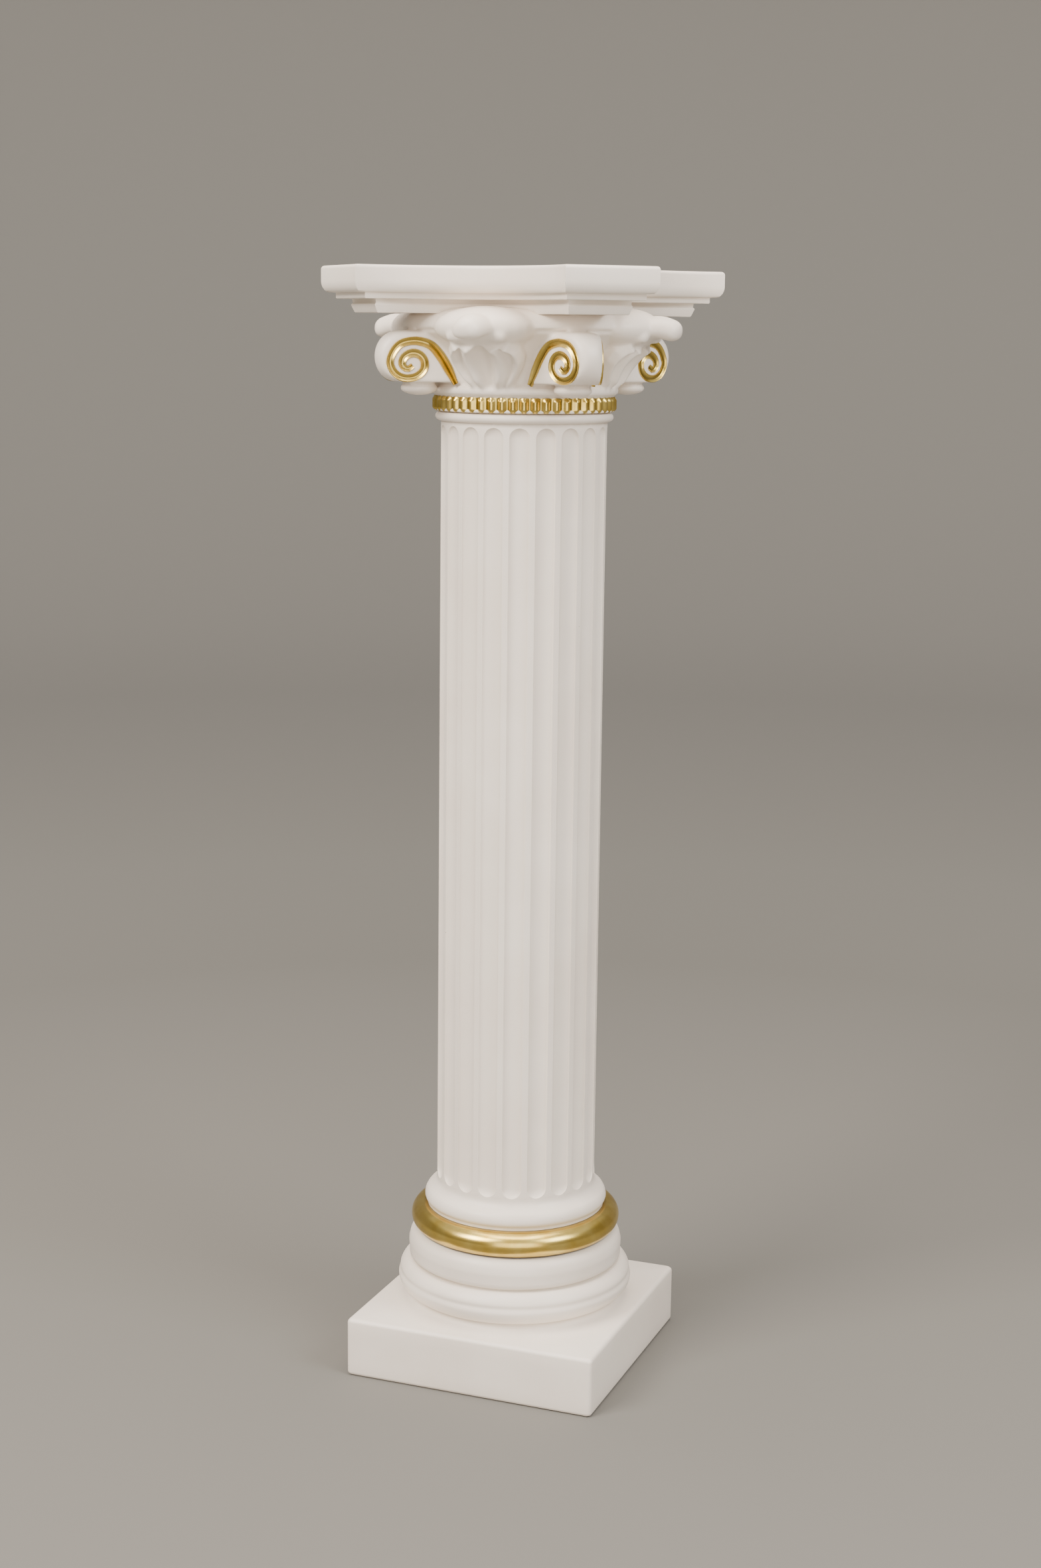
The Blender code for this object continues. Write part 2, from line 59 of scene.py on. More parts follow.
# Plinth and turned base
PLINTH_SIDE = 0.200
PLINTH_HEIGHT = 0.046
PLINTH_EDGE = 0.0032
FOOT_COVE_RADIUS = 0.0970
FOOT_COVE_HEIGHT = 0.0080
LOWER_TORUS_RADIUS = 0.0915
LOWER_TORUS_HEIGHT = 0.0250
LOWER_TORUS_BULGE = 0.0110
LOWER_TORUS_SWELL = 0.0110
TORUS_TURN_IN = -76
# A shallow dip round the lower torus: depth, then its angle above the widest line and its spread in degrees
TORUS_DIP = 0.0010
TORUS_DIP_ANGLE = 15
TORUS_DIP_SPREAD = 9
GROOVE_HEIGHT = 0.0018
GROOVE_DEPTH = 0.0030
GROOVE_SOFTNESS = 0.4
GROOVE_RUN_OUT = 2.5
RING_RADIUS = 0.083
RING_HEIGHT = 0.0230
RING_ROUND = 0.0078
RING_ROUND_HEIGHT = 0.0105
RING_BELLY = 0.0004
RING_BELLY_HEIGHT = 0.002
GILT_TORUS_RADIUS = 0.0812
GILT_TORUS_HEIGHT = 0.0192
GILT_COAT = 0.0003
GILT_SINK = 0.001
GILT_UNDER_COLLAR = 0.0005

# Shaft
SHAFT_RADIUS = 0.0617
COLLAR_RADIUS = 0.071
COLLAR_HEIGHT = 0.0202
COLLAR_ROUND = 0.0095
COLLAR_BULGE = 0.0060
COLLAR_TURN_IN = 38
ASTRAGAL_RADIUS = 0.066
ASTRAGAL_HEIGHT = 0.0070
FLUTE_COUNT = 20
FLUTE_WIDTH = 0.0150
FLUTE_DEPTH = 0.0034
FLUTE_FULLNESS = 0.55
FLUTE_LOWER_GAP = 0.0025
FLUTE_UPPER_GAP = 0.0030
# Where the mesh has its lines across half a flute and across the flat between two, as shares of each
FLUTE_LINES = [0, 0.25, 0.5, 0.7, 0.84, 0.93, 0.98, 1.0]
FLAT_LINES = [0.12, 0.5, 0.88]

# Capital, heights above its own foot
BAND_RADIUS = 0.0683
BAND_HEIGHT = 0.0122
TONGUE_COUNT = 52
TONGUE_DEPTH = 0.0026
TONGUE_ROUNDNESS = 0.9
TONGUE_FOOT = 0.0002
TONGUE_HEAD_GAP = 0.0010
# The white band under the tongues, foot to head, as (in from its radius, height)
BAND_PROFILE = [(0.0018, 0), (0.0011, 0.0008), (0.0018, 0.0020), (0.0036, 0.0034),
                (TONGUE_DEPTH + 0.002, BAND_HEIGHT - 0.003), (TONGUE_DEPTH - 0.0002, BAND_HEIGHT - 0.0014)]
NECK_RING_RADIUS = 0.0695
NECK_RING_HEIGHT = 0.0070
BELL_FOOT_RADIUS = 0.0655
BELL_LIP_RADIUS = 0.0885
BELL_HEIGHT = 0.0380
BELL_CONE = 0.25
BELL_FLARE = 2.4
LIP_HEIGHT = 0.0024
LIP_GROOVE = 0.0022
CUSHION_RADIUS = 0.0905
CUSHION_TOP_RADIUS = 0.0690
CUSHION_HEIGHT = 0.0150
ABACUS_SEAT = 0.0700
ABACUS_REACH = 0.1460
CORNER_WIDTH = 0.0718
SIDE_MIDDLE = 0.0878
CORNER_NARROWING = 1.2
SLAB_HEIGHT = 0.0190
SLAB_TOP_ROUND = 0.0025
SLAB_UNDERCUT = 0.0060
SLAB_UNDERCUT_HEIGHT = 0.0080
FILLET_INSET = 0.0093
FILLET_HEIGHT = 0.0042
COVE_HEIGHT = 0.0034
STEP_INSET = 0.0188
STEP_LEAN = 0.0022
STEP_HEIGHT = 0.0064
SLAB_SOFT_EDGE = 0.0006
VOLUTE_REACH = 0.1170
VOLUTE_RADIUS = 0.0182
VOLUTE_CENTRE = 0.0397
FACE_RADIUS = 0.0168
FACE_INWARD = 0.0018
FACE_DROP = 0.0017
VOLUTE_RIM = 0.0174
VOLUTE_SPLAY = radians(19)
VOLUTE_SQUARENESS = 2.6
VOLUTE_ROOT = 0.75 * BELL_FOOT_RADIUS
STROKE_WIDTH = 0.0062
STROKE_DEPTH = 0.0018
# The stroke's width and its hollow's depth at even steps from stalk to eye, as shares of their usual size
STROKE_WIDTHS = [0.6, 1.05, 1.1, 1.0, 0.9, 0.9, 0.85, 0.85, 0.85, 0.9, 0.95, 0.9, 0.6]
STROKE_DEPTHS = [1.0, 2.4, 2.4, 1.6, 1.0, 1.0, 1.0, 1.0, 1.0, 1.0, 1.0, 1.0, 0.8]
# The gilded stroke's stalk, as shares of the way from bell to scroll and of the scroll's radius
STALK = [(0.0, -1.07), (0.27, -0.55), (0.60, -0.01), (1.0, 0.42)]
STALK_END = 0.91
# The scroll from there to the eye, as shares of its radius inward and upward from its middle
SCROLL = [(0.48, 0.58), (0.10, 0.58), (-0.26, 0.45), (-0.52, 0.12), (-0.62, -0.28), (-0.44, -0.66),
          (-0.09, -0.85), (0.33, -0.80), (0.62, -0.54), (0.66, -0.20), (0.48, 0.06), (0.18, 0.12),
          (-0.10, -0.05), (-0.17, -0.33), (0.02, -0.50), (0.22, -0.36)]

# Leaves: the blade's line runs from the bell outward as (distance from the axis, height), with its widths
BLADE_LINE = [(0.0655, 0.0157), (0.0685, 0.0255), (0.0735, 0.0350), (0.0800, 0.0430), (0.0865, 0.0485),
              (0.0915, 0.0505)]
BLADE_WIDTHS = [0.026, 0.039, 0.050, 0.057, 0.056, 0.044]
BLADE_DEPTH = 0.010
# Across the blade, from edge to edge: how far each ridge and hollow stands off the blade's middle sheet
LEAF_RIDGES = [(-1.0, 0.0020), (-0.86, 0.0082), (-0.68, 0.0034), (-0.42, 0.0086), (0.0, 0.0),
               (0.42, 0.0086), (0.68, 0.0034), (0.86, 0.0082), (1.0, 0.0020)]
# The curled tip's middle lobe and a side one: distance from the axis, height, half width and half thickness
TIP = [(0.074, 0.050, 0.0180, 0.0060), (0.086, 0.0575, 0.0190, 0.0074), (0.096, 0.0615, 0.0165, 0.0078),
       (0.105, 0.0620, 0.0135, 0.0080), (0.1125, 0.0600, 0.0112, 0.0078)]
SIDE_TIP = [(0.074, 0.045, 0.0095, 0.0060), (0.084, 0.0530, 0.0105, 0.0064),
            (0.0905, 0.0562, 0.0098, 0.0064), (0.0950, 0.0555, 0.0076, 0.0052)]
SIDE_TIP_OUT = 0.0120
SIDE_TIP_SPREAD = 0.15
TIP_DROOP = 0.20
TIP_BLUNTNESS = 0.8
TIP_LOOPS = 24
# A soft mound over each leaf, its half sizes and its middle, and the small leaf tip under each volute
MOUND = (0.027, 0.039, 0.0150)
MOUND_MIDDLE = (0.076, 0.0, 0.0605)
LOBE_MIDDLE = (0.084, 0.0, 0.0170)
LOBE_SIZE = (0.0135, 0.0140, 0.0052)
# The mould's softening: grain of the melted mesh, rounds of smoothing and the share of triangles kept
VOXEL = 0.0009
BODY_ROUNDS = 9
GROOVE_ROUNDS = 3
KEPT_SHARE = 0.32

# Studio: each softbox has its name, place before the turn to the camera, side, watts and tone
SOFTBOXES = [("key", (-1.6, -1.3, 2.1), 1.2, 89, "#FFF7EE"), ("fill", (1.7, -1.3, 1.9), 1.2, 42, "#FFFFFF"),
             ("top", (0, -0.1, 2.6), 1.6, 62, "#FFF1E2"), ("front", (0.1, -2.3, 0.5), 2.0, 38, "#FFF6EC")]
SOFTBOX_AIM = Vector((0, 0, 0.5))
SWEEP_FLOOR = 3.5
SWEEP_BEND = 2.0
SWEEP_HEIGHT = 4.0
# The sweep's tone by distance from the column, as a share of this many metres: painted light, darker on the
# floor by the column and lighter out on the wall where the lamps reach less
SWEEP_FADE = 6.0
SWEEP_TONES = [(0.2, "#76746F"), (0.3, "#84827D"), (0.65, "#9E9B96"), (0.95, "#AFACA6")]

# Camera of the photograph, fitted to the plinth, shaft and abacus
CAMERA_PLACE = (0.6467, -1.6834, 0.7979)
CAMERA_TURN = radians(21.007)
CAMERA_DOWN = radians(10.732)
CAMERA_ROLL = radians(0.653)
CAMERA_LENS = 55.27
SENSOR_HEIGHT = 36.0


def srgb(text):
    """A linear colour from an sRGB hex value."""
    out = []
    for k in (1, 3, 5):
        c = int(text[k:k + 2], 16) / 255
        out.append(c / 12.92 if c <= 0.04045 else ((c + 0.055) / 1.055) ** 2.4)
    return (*out, 1.0)


def arc(centre_r, centre_z, semi_r, semi_z, start, end, steps):
    """Points (r, z) along part of an ellipse, angles in degrees from +r toward +z."""
    angles = [radians(start + (end - start) * i / steps) for i in range(steps + 1)]
    return [(centre_r + semi_r * cos(a), centre_z + semi_z * sin(a)) for a in angles]


def smooth_path(points, per_span):
    """A Catmull-Rom curve through the points."""
    pts = [Vector(p) for p in points]
    pts = [2 * pts[0] - pts[1]] + pts + [2 * pts[-1] - pts[-2]]
    out = []
    for a, b, c, d in zip(pts, pts[1:], pts[2:], pts[3:]):
        for k in range(per_span):
            t = k / per_span
            bend = (2 * a - 5 * b + 4 * c - d) * t * t + (3 * b - a - 3 * c + d) * t ** 3
            out.append(0.5 * (2 * b + (c - a) * t + bend))
    return out + [pts[-2]]


def even_path(points, steps):
    """Points at even distances along the smooth curve through the given ones."""
    fine = smooth_path(points, 16)
    length = [0.0]
    for a, b in zip(fine, fine[1:]):
        length.append(length[-1] + (b - a).length)
    out = []
    k = 0
    for i in range(steps + 1):
        goal = length[-1] * i / steps
        while k < len(fine) - 2 and length[k + 1] < goal:
            k += 1
        out.append(fine[k].lerp(fine[k + 1], (goal - length[k]) / (length[k + 1] - length[k])))
    return out


def ease(low, high, x):
    """0 below low, 1 above high and a soft step between."""
    t = min(max((x - low) / (high - low), 0.0), 1.0)
    return t * t * (3 - 2 * t)


def bent_grid(bm, across, along, place):
    """Adds a grid whose corner (i, j) lies at place(i, j), with points that meet merged."""
    made = bmesh.ops.create_grid(bm, x_segments=across, y_segments=along, size=0.5)["verts"]
    for v in made:
        v.co = place(round((v.co.x + 0.5) * across), round((v.co.y + 0.5) * along))
    bmesh.ops.remove_doubles(bm, verts=made, dist=MERGE_DISTANCE)


def quarter_turn(number):
    """A rotation about the column's axis by that many quarter turns."""
    return Matrix.Rotation(number * pi / 2, 3, "Z")


def add_skin(bm, loops, turn):
    """Skins closed loops of equal length, first to last, and closes both ends."""
    count = len(loops[0])
    ends = [sum(loop, Vector()) / count for loop in (loops[0], loops[-1])]

    def place(i, j):
        if j in (0, len(loops) + 1):
            return turn @ ends[j > 0]
        return turn @ loops[j - 1][i % count]

    bent_grid(bm, count, len(loops) + 1, place)


def between(values, share):
    """The value at that share of the way along evenly spaced ones."""
    spot = share * (len(values) - 1)
    k = min(int(spot), len(values) - 2)
    return values[k] + (values[k + 1] - values[k]) * (spot - k)


def piece(name, bm, material, smooth_below=50):
    """Makes the object, which rides on the one body and takes the given material."""
    bmesh.ops.recalc_face_normals(bm, faces=bm.faces)
    mesh = bpy.data.meshes.new(name)
    bm.to_mesh(mesh)
    bm.free()
    mesh.shade_smooth()
    mesh.set_sharp_from_angle(angle=radians(smooth_below))
    mesh.materials.append(material)
    obj = bpy.data.objects.new(name, mesh)
    bpy.context.scene.collection.objects.link(obj)
    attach(obj, "root")
    return obj


def node(tree, kind, links=None, **settings):
    """Adds a node, sets its properties and unlinked inputs, and links its other inputs."""
    made = tree.nodes.new(kind)
    for key, value in settings.items():
        if key.startswith("in_"):
            made.inputs[key[3:].replace("_", " ")].default_value = value
        else:
            setattr(made, key, value)
    for key, source in (links or {}).items():
        tree.links.new(source, made.inputs[key])
    return made


def cast_marble():
    """Cast marble: white stone dust in a binder, poured and left satin. It looks dense and even,
    faintly clouded, with painted shade darkening its hollows to warm grey-brown and a few pinholes from air
    in the mould."""
    material = bpy.data.materials.new("cast marble")
    material.use_nodes = True
    tree = material.node_tree
    shader = tree.nodes["Principled BSDF"]
    where = node(tree, "ShaderNodeTexCoord").outputs["Object"]
    # Clouding of the mix, patches about 70 mm across
    cloud = node(tree, "ShaderNodeTexNoise", {"Vector": where}, in_Scale=14.0, in_Detail=4.0,
                 in_Roughness=0.55)
    tint = node(tree, "ShaderNodeValToRGB", {"Fac": cloud.outputs["Fac"]})
    tint.color_ramp.elements[0].position = 0.35
    tint.color_ramp.elements[0].color = srgb("#F1E6DA")
    tint.color_ramp.elements[1].position = 0.68
    tint.color_ramp.elements[1].color = srgb("#F8EFE4")
    # Painted shade: where the mesh's pointiness shows a hollow, the colour is darkened to warm grey-brown
    hollow = node(tree, "ShaderNodeNewGeometry").outputs["Pointiness"]
    shade = node(tree, "ShaderNodeMapRange", {"Value": hollow}, in_From_Min=0.38, in_From_Max=0.49)
    painted_shade = node(tree, "ShaderNodeMix", {"Factor": shade.outputs["Result"]}, data_type="RGBA")
    painted_shade.inputs[6].default_value = srgb("#C3B5A0")
    tree.links.new(tint.outputs["Color"], painted_shade.inputs[7])
    # Air bubbles: cells 9 mm across, about one in forty with a pinhole under 1 mm wide
    cells = node(tree, "ShaderNodeTexVoronoi", {"Vector": where}, in_Scale=110.0)
    chosen = node(tree, "ShaderNodeMath", {0: cells.outputs["Color"]}, operation="LESS_THAN")
    chosen.inputs[1].default_value = 0.125
    pit = node(tree, "ShaderNodeMapRange", {"Value": cells.outputs["Distance"]}, in_From_Min=0.03,
               in_From_Max=0.05, in_To_Min=1.0, in_To_Max=0.0)
    pinhole = node(tree, "ShaderNodeMath", {0: chosen.outputs[0], 1: pit.outputs["Result"]},
                   operation="MULTIPLY")
    marked = node(tree, "ShaderNodeMix", {"Factor": pinhole.outputs[0]}, data_type="RGBA")
    tree.links.new(painted_shade.outputs[2], marked.inputs[6])
    marked.inputs[7].default_value = srgb("#A89A86")
    tree.links.new(marked.outputs[2], shader.inputs["Base Color"])
    # Grain of the stone dust about 2.5 mm apart, drawn coarser than the real grit so that it shows,
    # over ripples 25 mm apart from the mould
    grain = node(tree, "ShaderNodeTexNoise", {"Vector": where}, in_Scale=400.0, in_Detail=3.0)
    ripple = node(tree, "ShaderNodeTexNoise", {"Vector": where}, in_Scale=40.0, in_Detail=2.0)
    low = node(tree, "ShaderNodeBump", {"Height": ripple.outputs["Fac"]}, in_Strength=0.12,
               in_Distance=0.0010)
    fine = node(tree, "ShaderNodeBump", {"Height": grain.outputs["Fac"], "Normal": low.outputs["Normal"]},
                in_Strength=0.10, in_Distance=0.0003)
    tree.links.new(fine.outputs["Normal"], shader.inputs["Normal"])
    gloss = node(tree, "ShaderNodeMapRange", {"Value": cloud.outputs["Fac"]}, in_To_Min=0.36, in_To_Max=0.48)
    tree.links.new(gloss.outputs["Result"], shader.inputs["Roughness"])
    shader.inputs["IOR"].default_value = 1.5
    return material


def gilding():
    """Gold paint brushed on by hand: pale and shiny on the crowns, with painted shade turning it brown in
    the hollows and at the seams.
    """
    material = bpy.data.materials.new("gilding")
    material.use_nodes = True
    tree = material.node_tree
    shader = tree.nodes["Principled BSDF"]
    where = node(tree, "ShaderNodeTexCoord").outputs["Object"]
    # Brush marks about 12 mm apart
    streak = node(tree, "ShaderNodeTexNoise", {"Vector": where}, in_Scale=80.0, in_Detail=4.0)
    tint = node(tree, "ShaderNodeValToRGB", {"Fac": streak.outputs["Fac"]})
    tint.color_ramp.elements[0].position = 0.30
    tint.color_ramp.elements[0].color = srgb("#D2B255")
    tint.color_ramp.elements[1].position = 0.70
    tint.color_ramp.elements[1].color = srgb("#E9CF78")
    # Painted shade: hollows, found by the mesh's pointiness, are darkened to brown
    hollow = node(tree, "ShaderNodeNewGeometry").outputs["Pointiness"]
    shade = node(tree, "ShaderNodeMapRange", {"Value": hollow}, in_From_Min=0.40, in_From_Max=0.492)
    # How much open air a spot sees within 5 mm of it: the seams against the cast get painted shade, brown
    open_air = node(tree, "ShaderNodeAmbientOcclusion", in_Distance=0.005)
    clear = node(tree, "ShaderNodeMapRange", {"Value": open_air.outputs["AO"]}, in_From_Min=0.25,
                 in_From_Max=0.75)
    unshaded = node(tree, "ShaderNodeMath", {0: shade.outputs["Result"], 1: clear.outputs["Result"]},
                operation="MULTIPLY")
    mixed = node(tree, "ShaderNodeMix", {"Factor": unshaded.outputs[0]}, data_type="RGBA")
    mixed.inputs[6].default_value = srgb("#65531F")
    tree.links.new(tint.outputs["Color"], mixed.inputs[7])
    tree.links.new(mixed.outputs[2], shader.inputs["Base Color"])
    bump = node(tree, "ShaderNodeBump", {"Height": streak.outputs["Fac"]}, in_Strength=0.12,
                in_Distance=0.0004)
    tree.links.new(bump.outputs["Normal"], shader.inputs["Normal"])
    shader.inputs["Metallic"].default_value = 1.0
    shader.inputs["Roughness"].default_value = 0.27
    return material


def plinth_plan(half, edge):
    """A square with rounded corners, walked from corner to corner."""
    loop = []
    for side in range(4):
        turn = Matrix.Rotation(side * pi / 2, 2)
        flat = half - edge
        for k in range(28):
            a = atan2(flat, half) * (k / 14 - 1)
            loop.append(turn @ Vector((half, half * tan(a))))
        for r, z in arc(flat, flat, edge, edge, 0, 90, 6)[:-1]:
            loop.append(turn @ Vector((r, z)))
    return loop


def build_base(marble):
    """Square plinth, cove, lower torus, groove, ring and the torus that is gilded, in one casting."""
    widest = PLINTH_HEIGHT + FOOT_COVE_HEIGHT + LOWER_TORUS_BULGE
    torus_top = PLINTH_HEIGHT + FOOT_COVE_HEIGHT + LOWER_TORUS_HEIGHT
    ring_foot = torus_top + GROOVE_HEIGHT
    ring_top = ring_foot + RING_HEIGHT
    half = GILT_TORUS_HEIGHT / 2
    centre = LOWER_TORUS_RADIUS - LOWER_TORUS_SWELL
    square = [(PLINTH_EDGE - r, PLINTH_EDGE + z) for r, z in arc(0, 0, PLINTH_EDGE, PLINTH_EDGE, -90, 0, 5)]
    square += [(0, PLINTH_HEIGHT * k / 4) for k in (1, 2, 3)]
    square += [(PLINTH_EDGE - r, PLINTH_HEIGHT - PLINTH_EDGE + z)
               for r, z in arc(0, 0, PLINTH_EDGE, PLINTH_EDGE, 0, 90, 5)]
    under = arc(centre, widest, LOWER_TORUS_SWELL, LOWER_TORUS_BULGE, TORUS_TURN_IN, 0, 12)
    neck_r, neck_z = under[0]
    rounds = arc(FOOT_COVE_RADIUS, neck_z, FOOT_COVE_RADIUS - neck_r, neck_z - PLINTH_HEIGHT, 268, 188, 10)
    rounds += under
    for step in range(1, 31):
        angle = 90 * step / 30
        swell = LOWER_TORUS_SWELL - TORUS_DIP * exp(-((angle - TORUS_DIP_ANGLE) / TORUS_DIP_SPREAD) ** 2)
        rounds += arc(centre, widest, swell, torus_top - widest, angle, angle, 1)[:1]
    rounds += [(RING_RADIUS - GROOVE_DEPTH, ring_foot - GROOVE_SOFTNESS * GROOVE_HEIGHT)]
    rounds += [(RING_RADIUS - GROOVE_SOFTNESS * GROOVE_DEPTH, ring_foot + GROOVE_SOFTNESS * GROOVE_HEIGHT)]
    rounds += [(RING_RADIUS, ring_foot + GROOVE_HEIGHT)]
    rounds += [(RING_RADIUS, ring_foot + GROOVE_RUN_OUT * GROOVE_HEIGHT)]
    ring_round_foot = ring_top - RING_ROUND_HEIGHT
    rounds += [(RING_RADIUS + RING_BELLY, ring_round_foot - RING_BELLY_HEIGHT)]
    rounds += [(RING_RADIUS + RING_BELLY, ring_round_foot)]
    rounds += arc(RING_RADIUS - RING_ROUND, ring_round_foot, RING_ROUND, RING_ROUND_HEIGHT, 12, 88, 12)
    rounds += arc(GILT_TORUS_RADIUS - half, BASE_TOP - half, half, half, -84, 90, 24)
    plan = plinth_plan(PLINTH_SIDE / 2, PLINTH_EDGE)
    directions = [p.normalized() for p in plan]
    count = len(plan)

    def place(i, j):
        i %= count
        if j == 0:
            return Vector((0, 0, 0))
        j -= 1
        if j < len(square):
            inset, z = square[j]
            p = plan[i] * (1 - inset / (PLINTH_SIDE / 2))
            return Vector((p.x, p.y, z))
        j -= len(square)
        if j < len(rounds):
            r, z = rounds[j]
            return Vector((directions[i].x * r, directions[i].y * r, z))
        return Vector((0, 0, BASE_TOP))

    bm = bmesh.new()
    bent_grid(bm, count, len(square) + len(rounds) + 1, place)
    return piece("base_casting", bm, marble)


def build_gilt_torus(gold):
    """The coat of gold on the base's upper torus, a closed shell whose back lies inside the casting."""
    half = GILT_TORUS_HEIGHT / 2
    middle = GILT_TORUS_RADIUS - half
    coat = arc(middle, BASE_TOP - half, half + GILT_COAT, half + GILT_COAT, -80, 90, 28)
    collar_foot = COLLAR_RADIUS - COLLAR_ROUND * (1 - cos(radians(COLLAR_TURN_IN)))
    inner = collar_foot - GILT_UNDER_COLLAR
    coat += [(inner, BASE_TOP + GILT_COAT / 2), (inner, BASE_TOP - GILT_SINK)]
    coat += arc(middle, BASE_TOP - half, half - GILT_SINK, half - GILT_SINK, 88, -76, 28)

    def place(i, j):
        r, z = coat[j % len(coat)]
        a = 2 * pi * (i % TURNED_SIDES) / TURNED_SIDES
        return Vector((r * cos(a), r * sin(a), z))

    bm = bmesh.new()
    bent_grid(bm, TURNED_SIDES, len(coat), place)
    piece("gilded_torus", bm, gold)


def build_shaft(marble):
    """Collar, fluted cylinder and top bead, in one casting. Its flutes have round ends."""
    top = SHAFT_TOP
    corner = COLLAR_RADIUS - COLLAR_ROUND
    bulge = SHAFT_FOOT + COLLAR_BULGE
    collar_top = SHAFT_FOOT + COLLAR_HEIGHT
    low = collar_top + FLUTE_LOWER_GAP
    bead = ASTRAGAL_HEIGHT / 2
    high = top - ASTRAGAL_HEIGHT - FLUTE_UPPER_GAP
    half = FLUTE_WIDTH / 2
    lower = arc(corner, bulge, COLLAR_ROUND, COLLAR_BULGE, -COLLAR_TURN_IN, -6, 8)
    rows = [(0, SHAFT_FOOT), (lower[0][0], SHAFT_FOOT)] + lower
    rows += arc(corner, bulge, COLLAR_ROUND, COLLAR_ROUND, 0, 42, 7)
    shoulder = rows[-1]
    for k in range(1, 7):
        t = k / 6
        rows.append((shoulder[0] + (SHAFT_RADIUS - shoulder[0]) * (1 - (1 - t) ** 2),
                     shoulder[1] + (collar_top - shoulder[1]) * t))
    ends = [half * (1 - cos(radians(7.5 * k))) for k in range(13)]
    rows += [(SHAFT_RADIUS, low + e) for e in ends]
    rows += [(SHAFT_RADIUS, low + half + (high - low - 2 * half) * k / 10) for k in range(1, 10)]
    rows += [(SHAFT_RADIUS, high - e) for e in reversed(ends)]
    rows += arc(SHAFT_RADIUS, top - bead, ASTRAGAL_RADIUS - SHAFT_RADIUS, bead, -90, 90, 12)
    rows += [(0, top)]
    shares = [-s for s in reversed(FLUTE_LINES[1:])] + FLUTE_LINES
    pitch = 2 * pi / FLUTE_COUNT
    per_flute = len(shares) + len(FLAT_LINES)
    count = FLUTE_COUNT * per_flute

    def place(i, j):
        r, z = rows[j]
        i %= count
        flute, k = divmod(i, per_flute)
        half_pitch = pitch * SHAFT_RADIUS / 2
        into = min(z - low, high - z)
        width = half * sqrt(max(1 - (1 - min(max(into, 0) / half, 1)) ** 2, 0.002))
        if k < len(shares):
            x = shares[k] * width
            bowl = hypot(x, max(half - into, 0)) / half
            depth = FLUTE_DEPTH * max(1 - bowl ** 2, 0) ** FLUTE_FULLNESS if into > 0 else 0
        else:
            edge = FLAT_LINES[k - len(shares)]
            x = width + (2 * half_pitch - 2 * width) * edge
            depth = 0
        a = pitch * flute + x / SHAFT_RADIUS
        r -= depth
        return Vector((r * cos(a), r * sin(a), z))

    bm = bmesh.new()
    bent_grid(bm, count, len(rows) - 1, place)
    return piece("shaft_casting", bm, marble)


def abacus_plan(inset, steps):
    """The abacus's outline at one inset: four hollow sides between cut corners."""
    reach = ABACUS_REACH - inset
    corner = (CORNER_WIDTH - CORNER_NARROWING * inset) / 2
    middle = SIDE_MIDDLE - inset
    end_x = (reach + corner) / sqrt(2)
    end_y = (reach - corner) / sqrt(2)
    sagitta = end_x - middle
    radius = (end_y ** 2 + sagitta ** 2) / (2 * sagitta)
    sweep = atan2(end_y, radius - sagitta)
    loop = []
    for side in range(4):
        turn = Matrix.Rotation(side * pi / 2, 2)
        for i in range(steps + 1):
            a = sweep * (2 * i / steps - 1)
            loop.append(turn @ Vector((middle + radius - radius * cos(a), radius * sin(a))))
        last = loop[-1]
        first = Matrix.Rotation((side + 1) * pi / 2, 2) @ Vector((end_x, -end_y))
        loop += [last.lerp(first, k / 8) for k in range(1, 8)]
    return loop


def add_abacus(bm):
    """The top slab with its fillet, small cove and lower step, all hollow-sided with cut corners."""
    foot = CAPITAL_FOOT + ABACUS_SEAT
    fillet_foot = foot + STEP_HEIGHT + COVE_HEIGHT
    slab_foot = fillet_foot + FILLET_HEIGHT
    slab_top = slab_foot + SLAB_HEIGHT
    soft = SLAB_SOFT_EDGE
    levels = [(STEP_INSET + STEP_LEAN + soft, foot), (STEP_INSET + STEP_LEAN, foot + soft)]
    levels += [(STEP_INSET + 0.2 * soft, foot + STEP_HEIGHT - 2 * soft)]
    levels += [(STEP_INSET + 0.2 * soft, foot + STEP_HEIGHT - soft)]
    levels += [(STEP_INSET + soft, foot + STEP_HEIGHT), (STEP_INSET + 2 * soft, foot + STEP_HEIGHT + soft)]
    levels += [(STEP_INSET + soft, fillet_foot - 0.3 * soft)]
    levels += [(FILLET_INSET + soft, fillet_foot), (FILLET_INSET, fillet_foot + soft)]
    levels += [(FILLET_INSET, slab_foot - soft), (FILLET_INSET - 0.3 * soft, slab_foot)]
    undercut = arc(0, slab_foot + SLAB_UNDERCUT_HEIGHT, SLAB_UNDERCUT, SLAB_UNDERCUT_HEIGHT, -76, 0, 8)
    levels += [(SLAB_UNDERCUT - r, z) for r, z in undercut]
    top_round = arc(0, slab_top - SLAB_TOP_ROUND, SLAB_TOP_ROUND, SLAB_TOP_ROUND, 0, 90, 6)
    levels += [(SLAB_TOP_ROUND - r, z) for r, z in top_round]
    plans = [abacus_plan(inset, 28) for inset, z in levels]
    count = len(plans[0])

    def place(i, j):
        if j == 0 or j == len(levels) + 1:
            return Vector((0, 0, foot if j == 0 else slab_top))
        p = plans[j - 1][i % count]
        return Vector((p.x, p.y, levels[j - 1][1]))

    bent_grid(bm, count, len(levels) + 1, place)


def bell_radius(z):
    """Radius of the bell's flare at a height above the capital's foot."""
    t = min(max((z - BAND_HEIGHT - NECK_RING_HEIGHT) / BELL_HEIGHT, 0), 1)
    flare = BELL_CONE * t + (1 - BELL_CONE) * t ** BELL_FLARE
    return BELL_FOOT_RADIUS + (BELL_LIP_RADIUS - BELL_FOOT_RADIUS) * flare


